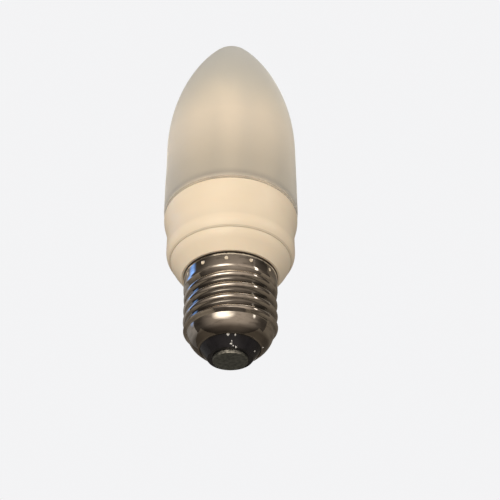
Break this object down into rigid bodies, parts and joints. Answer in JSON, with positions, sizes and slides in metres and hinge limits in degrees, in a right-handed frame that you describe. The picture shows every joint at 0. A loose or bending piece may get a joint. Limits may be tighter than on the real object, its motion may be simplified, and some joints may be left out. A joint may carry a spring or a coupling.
{
  "type": "candle lamp bulb",
  "caption": "Candle-shaped compact fluorescent lamp: frosted glass globe on a cream plastic collar and bowl, with a nickel screw cap, black glass insulator and centre contact.",
  "frame": {"origin": "on the lamp's axis, on the end face of the centre contact", "axes": "+Z along the lamp's axis from the contact to the globe's tip, -Y towards the camera of the picture"},
  "size_m": [0.0399, 0.0398, 0.1198],
  "materials": {
    "frosted_glass": "frosted",
    "phosphor_white": "coated glass",
    "cream_plastic": "satin",
    "board_laminate": "matt",
    "capacitor_sleeve": "gloss",
    "ferrite": "matt",
    "winding_copper": "enamelled",
    "capacitor_dip": "gloss",
    "black_resin": "matt",
    "tinned_wire": "bright",
    "nickel_plate": "polished",
    "black_glass": "gloss",
    "contact_metal": "dull"
  },
  "bodies": {
    "root": {"glass_globe": "frosted_glass", "discharge_tube": "phosphor_white", "collar": "cream_plastic", "lower_housing": "cream_plastic", "ballast_board": "board_laminate", "smoothing_capacitor": "capacitor_sleeve", "choke_core": "ferrite", "choke_winding": "winding_copper", "film_capacitor": "capacitor_dip", "switching_transistors": "black_resin", "rectifier_diodes": "black_resin", "filament_leads": "tinned_wire", "live_lead": "tinned_wire", "neutral_lead": "tinned_wire", "screw_shell": "nickel_plate", "cap_insulator": "black_glass", "centre_contact": "contact_metal"}
  },
  "joints": []
}
